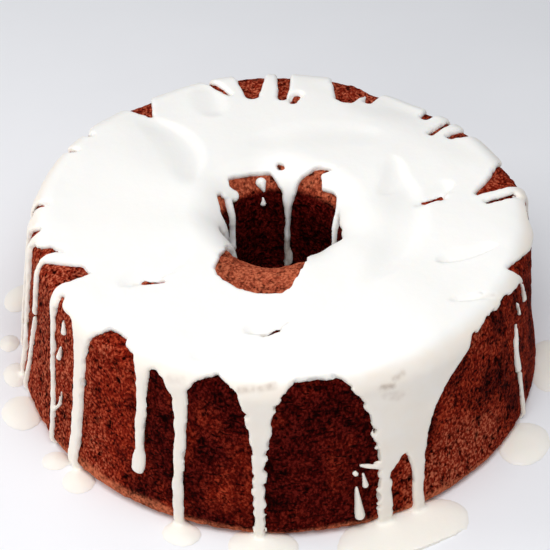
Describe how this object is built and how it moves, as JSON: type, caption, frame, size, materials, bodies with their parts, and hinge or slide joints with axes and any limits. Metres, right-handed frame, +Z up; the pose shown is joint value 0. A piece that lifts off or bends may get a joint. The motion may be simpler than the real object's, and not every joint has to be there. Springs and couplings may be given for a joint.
{
  "type": "glazed chocolate angel food cake",
  "caption": "Ring cake with a sponge flaring to its foot, a rounded hole, and a poured white glaze that runs down the side and down the hole into small pools.",
  "frame": {"origin": "centre of the base, on the surface the cake stands on, on the axis of the hole", "axes": "+Z up along the axis of the hole; -Y towards the side shown in the picture; +X to that side's right"},
  "size_m": [0.2789, 0.2803, 0.0855],
  "materials": {
    "sponge": "open dark chocolate crumb",
    "glaze": "smooth set sugar glaze"
  },
  "bodies": {
    "root": {"sponge": "sponge", "glaze": "glaze", "glaze_pool_1": "glaze", "glaze_pool_2": "glaze", "glaze_pool_3": "glaze", "glaze_pool_4": "glaze", "glaze_pool_5": "glaze", "glaze_pool_6": "glaze", "glaze_pool_7": "glaze", "glaze_pool_8": "glaze", "glaze_pool_9": "glaze", "glaze_pool_10": "glaze", "glaze_pool_11": "glaze", "glaze_pool_12": "glaze", "glaze_pool_13": "glaze", "glaze_pool_14": "glaze"}
  },
  "joints": []
}
